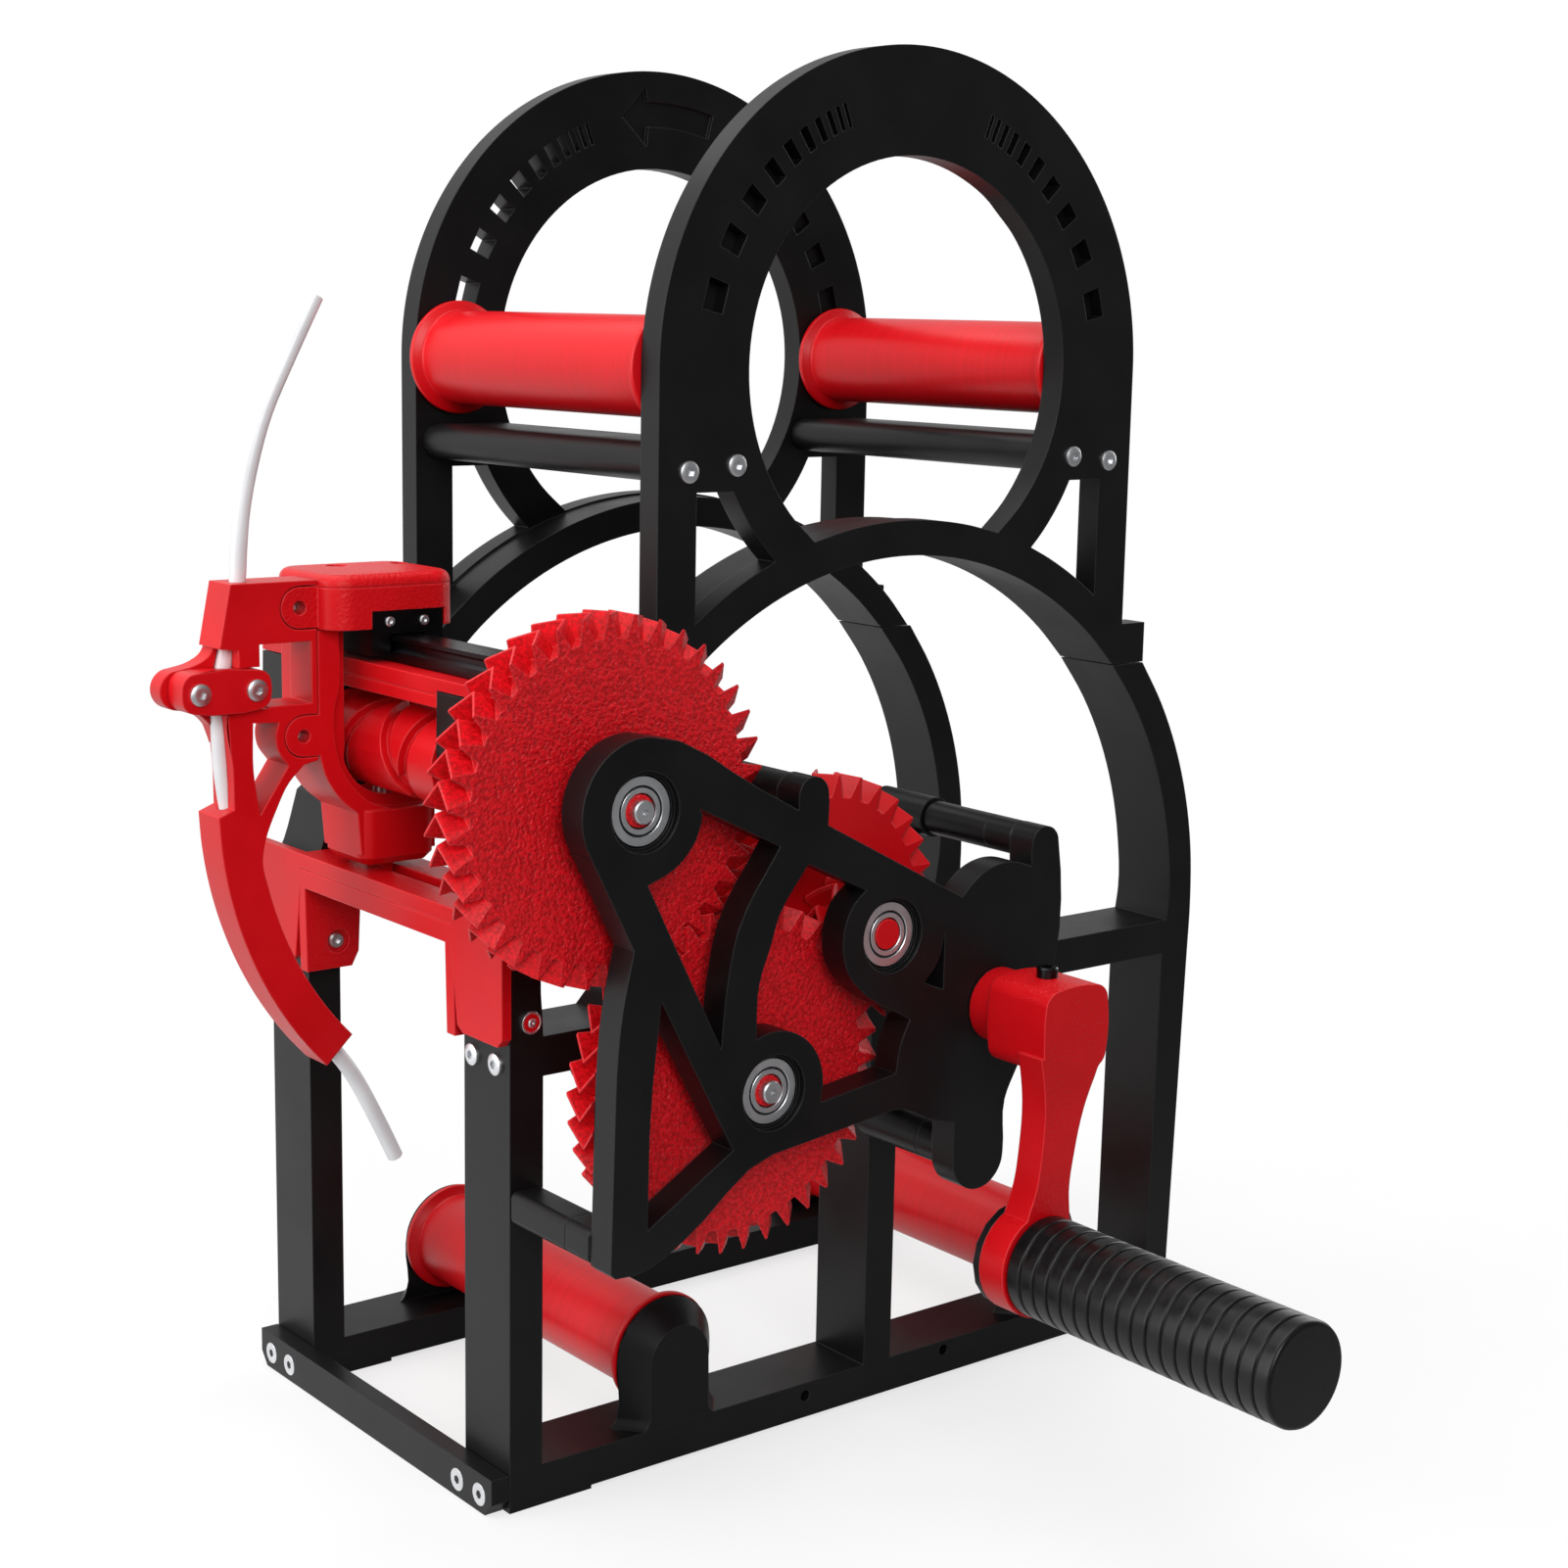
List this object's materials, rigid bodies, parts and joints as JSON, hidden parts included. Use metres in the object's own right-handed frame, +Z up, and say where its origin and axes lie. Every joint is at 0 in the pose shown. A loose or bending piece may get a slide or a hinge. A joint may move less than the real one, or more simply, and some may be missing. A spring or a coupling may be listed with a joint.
{
  "type": "filament spool winder",
  "caption": "Hand-cranked winder: two arched side frames with spool rollers, herringbone gear train, grooved cam and sliding tube carriage that lays the filament.",
  "frame": {"origin": "centre of the bounding box at table height", "axes": "+Z up, +Y along every axle away from the crank, +X along the side frames towards their plain end"},
  "size_m": [0.2834, 0.2688, 0.3491],
  "materials": {
    "black_plastic": "printed, satin",
    "red_plastic": "printed, satin",
    "steel": "ground",
    "dark_steel": "blackened",
    "white_tube": "smooth",
    "grip_rubber": "ribbed"
  },
  "bodies": {
    "frame": {"near_side_frame": "black_plastic", "far_side_frame": "black_plastic", "near_ring_frame": "black_plastic", "far_ring_frame": "black_plastic", "left_crossbar": "black_plastic", "right_crossbar": "black_plastic", "left_tie_bar": "black_plastic", "right_tie_bar": "black_plastic", "gearbox_plate": "black_plastic", "standoff_middle": "black_plastic", "standoff_right": "black_plastic", "standoff_low": "black_plastic", "standoff_left": "black_plastic", "cam_front_bearing": "steel", "second_front_bearing": "steel", "idler_front_bearing": "steel", "crank_front_bearing": "steel", "second_rear_bearing": "steel", "idler_rear_bearing": "steel", "crank_rear_bearing": "steel", "drum_near_bearing": "steel", "drum_far_bearing": "steel", "lower_left_axle": "steel", "lower_right_axle": "steel", "upper_left_axle": "steel", "upper_right_axle": "steel", "rail_beam": "red_plastic", "linear_rail": "dark_steel", "guide_bar": "red_plastic"},
    "crank": {"drive_shaft": "red_plastic", "crank_arm": "red_plastic", "handle_bolt": "black_plastic", "spool_driver": "red_plastic"},
    "handle": {"handle_grip": "grip_rubber"},
    "second_wheel": {"second_gear": "red_plastic"},
    "idler_wheel": {"idler_gear": "red_plastic"},
    "cam": {"cam_gear": "red_plastic", "cam_drum": "red_plastic"},
    "carriage": {"rail_block": "dark_steel", "block_cover": "red_plastic", "follower_bracket": "red_plastic", "follower_pin": "steel", "tube_arm": "red_plastic", "tube_clamp": "red_plastic", "guide_tube": "white_tube"},
    "lower_left_roller": {"lower_left_roller": "red_plastic"},
    "lower_right_roller": {"lower_right_roller": "red_plastic"},
    "upper_left_roller": {"upper_left_roller": "red_plastic"},
    "upper_right_roller": {"upper_right_roller": "red_plastic"}
  },
  "joints": [
    {"name": "crank_turn", "type": "hinge", "parent": "frame", "child": "crank", "pos_m": [0.02525, 0.0749, 0.118], "axis": [0, 1, 0], "continuous": true},
    {"name": "handle_turn", "type": "hinge", "parent": "crank", "child": "handle", "pos_m": [0.01678, -0.0938, 0.06062], "axis": [0, 1, 0], "continuous": true},
    {"name": "second_turn", "type": "hinge", "parent": "frame", "child": "second_wheel", "pos_m": [-0.00903, 0, 0.13968], "axis": [0, 1, 0], "continuous": true},
    {"name": "idler_turn", "type": "hinge", "parent": "frame", "child": "idler_wheel", "pos_m": [-0.04415, 0, 0.10721], "axis": [0, 1, 0], "continuous": true},
    {"name": "cam_turn", "type": "hinge", "parent": "frame", "child": "cam", "pos_m": [-0.08125, 0.0749, 0.177], "axis": [0, 1, 0], "continuous": true},
    {"name": "carriage_slide", "type": "slide", "parent": "frame", "child": "carriage", "axis": [0, 1, 0], "range_m": [-0.034, 0.008]},
    {"name": "lower_left_roller_turn", "type": "hinge", "parent": "frame", "child": "lower_left_roller", "pos_m": [-0.03965, 0.0749, 0.0269], "axis": [0, 1, 0], "continuous": true},
    {"name": "lower_right_roller_turn", "type": "hinge", "parent": "frame", "child": "lower_right_roller", "pos_m": [0.09015, 0.0749, 0.0269], "axis": [0, 1, 0], "continuous": true},
    {"name": "upper_left_roller_turn", "type": "hinge", "parent": "frame", "child": "upper_left_roller", "pos_m": [-0.03675, 0.0749, 0.2711], "axis": [0, 1, 0], "continuous": true},
    {"name": "upper_right_roller_turn", "type": "hinge", "parent": "frame", "child": "upper_right_roller", "pos_m": [0.09425, 0.0749, 0.2711], "axis": [0, 1, 0], "continuous": true}
  ],
  "couplings": [
    {"joint": "second_turn", "follows": "crank_turn", "ratio": -0.25806},
    {"joint": "idler_turn", "follows": "crank_turn", "ratio": 0.054329},
    {"joint": "cam_turn", "follows": "crank_turn", "ratio": -0.054329}
  ]
}
